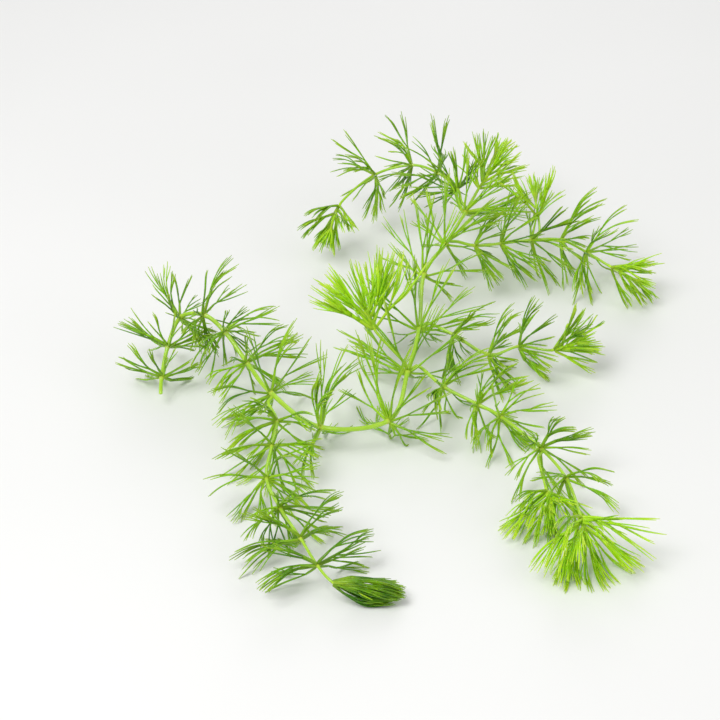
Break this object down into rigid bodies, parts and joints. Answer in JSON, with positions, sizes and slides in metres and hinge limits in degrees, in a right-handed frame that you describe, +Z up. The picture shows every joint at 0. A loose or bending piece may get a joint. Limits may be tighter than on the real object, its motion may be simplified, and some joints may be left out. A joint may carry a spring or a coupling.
{
  "type": "aquarium plant",
  "caption": "Branched hornwort plant lying on its leaves: thin curved stems with whorls of fine forked needle leaves and bushy growing tips.",
  "frame": {"origin": "centre of the bounding box, on the surface that the plant lies on", "axes": "+Z up from the surface; +Y along the plant's longest extent, from the lower shoots to the top of the main stem; +X across it, from the cut end of the stem to the side branches"},
  "size_m": [0.1628, 0.1992, 0.0417],
  "materials": {
    "stem": "smooth, wet, slightly translucent plant stem",
    "leaf": "wet, translucent needle leaf",
    "young_leaf": "wet, translucent young needle leaf"
  },
  "bodies": {
    "root": {"back_left_branch_stem": "stem", "back_left_tip_leaves": "young_leaf", "back_left_whorl_01": "leaf", "back_left_whorl_02": "leaf", "back_left_whorl_03": "leaf", "back_left_whorl_04": "leaf", "back_right_branch_stem": "stem", "back_right_shoot_leaves": "young_leaf", "back_right_shoot_stem": "stem", "back_right_tip_leaves": "young_leaf", "back_right_whorl_01": "leaf", "back_right_whorl_02": "leaf", "back_right_whorl_03": "leaf", "back_right_whorl_04": "leaf", "back_right_whorl_05": "leaf", "bright_shoot_leaves": "young_leaf", "bright_shoot_stem": "stem", "left_branch_stem": "stem", "left_tip_leaves": "young_leaf", "left_whorl_01": "leaf", "left_whorl_02": "leaf", "left_whorl_03": "leaf", "left_whorl_04": "leaf", "left_whorl_05": "leaf", "left_whorl_06": "leaf", "main_stem_lower": "stem", "main_stem_middle": "stem", "main_stem_top": "stem", "main_stem_upper": "stem", "main_tip_leaves": "young_leaf", "main_whorl_01": "leaf", "main_whorl_02": "leaf", "main_whorl_03": "leaf", "main_whorl_04": "leaf", "main_whorl_05": "leaf", "main_whorl_06": "leaf", "main_whorl_07": "leaf", "main_whorl_08": "leaf", "main_whorl_09": "leaf", "main_whorl_10": "leaf", "main_whorl_11": "leaf", "main_whorl_12": "leaf", "main_whorl_13": "leaf", "main_whorl_14": "leaf", "right_branch_stem": "stem", "right_shoot_leaves": "young_leaf", "right_shoot_stem": "stem", "right_tip_leaves": "young_leaf", "right_whorl_01": "leaf", "right_whorl_02": "leaf", "right_whorl_03": "leaf", "right_whorl_04": "leaf", "right_whorl_05": "leaf", "side_branch_stem": "stem", "side_tip_leaves": "young_leaf", "side_whorl_01": "leaf", "side_whorl_02": "leaf", "side_whorl_03": "leaf"}
  },
  "joints": []
}
